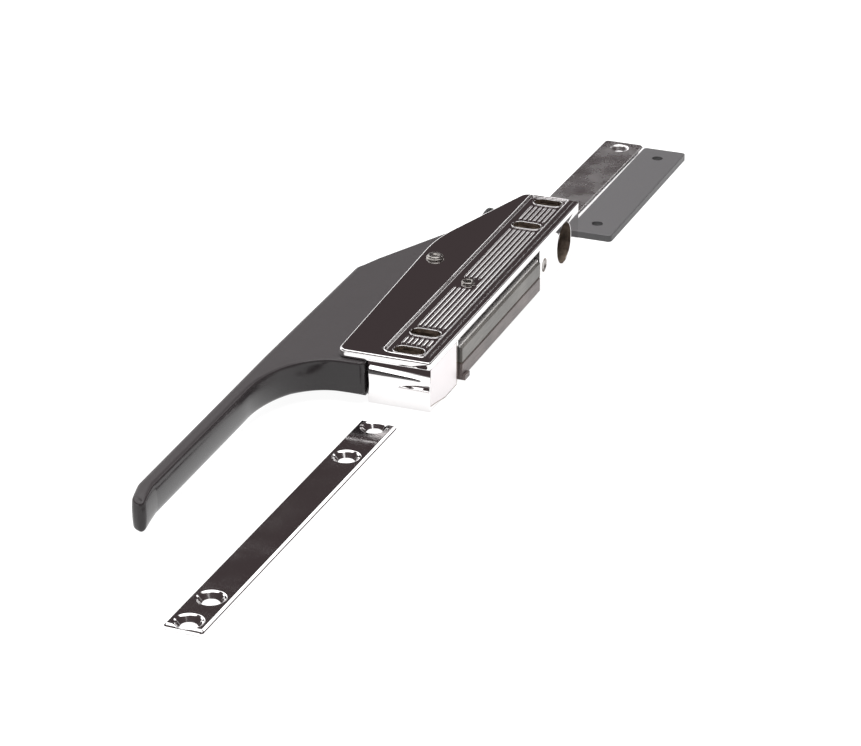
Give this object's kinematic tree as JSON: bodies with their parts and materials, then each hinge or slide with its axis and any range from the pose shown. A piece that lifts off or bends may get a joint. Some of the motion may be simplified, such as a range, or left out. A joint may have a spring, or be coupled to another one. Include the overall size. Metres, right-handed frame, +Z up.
{
  "type": "magnetic door latch",
  "caption": "Edge-mounted magnetic latch with a pull lever, a swivelling magnet, a push-off plunger, and its loose clamp bar, strike plate and shim",
  "frame": {"origin": "on the mounting base, on the screw line, midway between the near two slots", "axes": "+Y along the housing from the grip end to the lock end, +X out of the magnet side towards the strike, +Z up from the mounting base to the top plate"},
  "size_m": [0.0893, 0.5585, 0.0267],
  "materials": {
    "housing_metal": "die-cast zinc with bright polished chrome plate",
    "plated_steel": "bright plated steel",
    "handle_black": "smooth gloss black coat",
    "black_plastic": "smooth black plastic, softly glossy",
    "bar_chrome": "polished chrome plate",
    "bush_brass": "turned brass",
    "spring_steel": "drawn spring wire",
    "holder_steel": "pressed and plated steel",
    "magnet_black": "sintered magnet block, dull dark grey",
    "pole_steel": "ground and blackened steel",
    "seam_brass": "thin strip, dull",
    "plate_steel": "zinc-plated sheet"
  },
  "bodies": {
    "frame": {"housing": "housing_metal", "pivot_pin": "plated_steel", "hub_washer": "plate_steel", "back_plate": "plate_steel", "back_plate_screws": "plated_steel", "swivel_rivet": "plated_steel", "swivel_spacers": "plate_steel", "lock_hole_plug": "black_plastic", "plunger_spring": "spring_steel", "clamp_bar": "bar_chrome", "strike_plate": "bar_chrome", "strike_shim": "black_plastic"},
    "lever": {"handle": "handle_black", "upper_bush": "bush_brass", "lower_bush": "bush_brass"},
    "pusher": {"plunger": "plated_steel"},
    "magnet": {"magnet_holder": "holder_steel", "magnet_blocks": "magnet_black", "upper_pole_plate": "pole_steel", "lower_pole_plate": "pole_steel", "pole_seam_strip": "seam_brass"}
  },
  "joints": [
    {"name": "handle_pivot", "type": "hinge", "parent": "frame", "child": "lever", "pos_m": [-0.0263, 0.0898, 0.0128], "axis": [0, 0, -1], "range_deg": [0, 9], "stiffness_Nm_per_rad": 1.2},
    {"name": "plunger_slide", "type": "slide", "parent": "frame", "child": "pusher", "axis": [1, 0, 0], "range_m": [0, 0.0062], "deforming": ["plunger_spring"]},
    {"name": "magnet_swivel", "type": "hinge", "parent": "frame", "child": "magnet", "pos_m": [-0.002, 0.0694, 0.0087], "axis": [0, 0, 1], "range_deg": [-1.2, 1.2]}
  ],
  "couplings": [
    {"joint": "plunger_slide", "follows": "handle_pivot", "m_per_rad": 0.0392}
  ]
}
